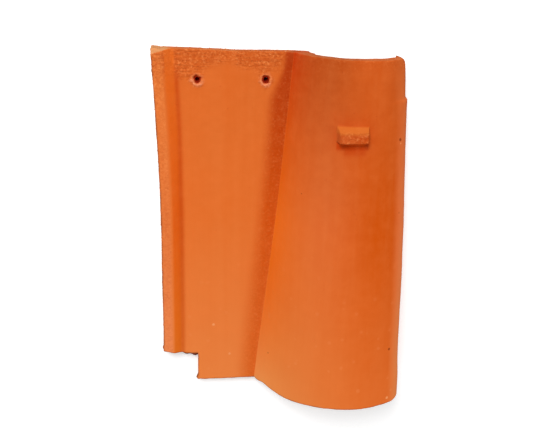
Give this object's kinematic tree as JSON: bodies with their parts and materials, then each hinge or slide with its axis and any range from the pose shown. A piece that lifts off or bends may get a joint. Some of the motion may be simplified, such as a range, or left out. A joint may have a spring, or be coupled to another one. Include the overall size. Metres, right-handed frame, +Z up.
{
  "type": "roof tile",
  "caption": "One-piece tapered S-profile clay roof tile: flat pan with a side rib, tapered roll, nail holes and a stop lug on the roll.",
  "frame": {"origin": "centre of the tile's bounding box in X and Y, on the plane of the pan's underside", "axes": "+Z up out of the weathered face, +Y along the tile from the tail to the head, +X across from the pan to the roll"},
  "size_m": [0.3006, 0.433, 0.0904],
  "materials": {
    "fired_clay": "matte unglazed terracotta"
  },
  "bodies": {
    "root": {"roof_tile": "fired_clay"}
  },
  "joints": []
}
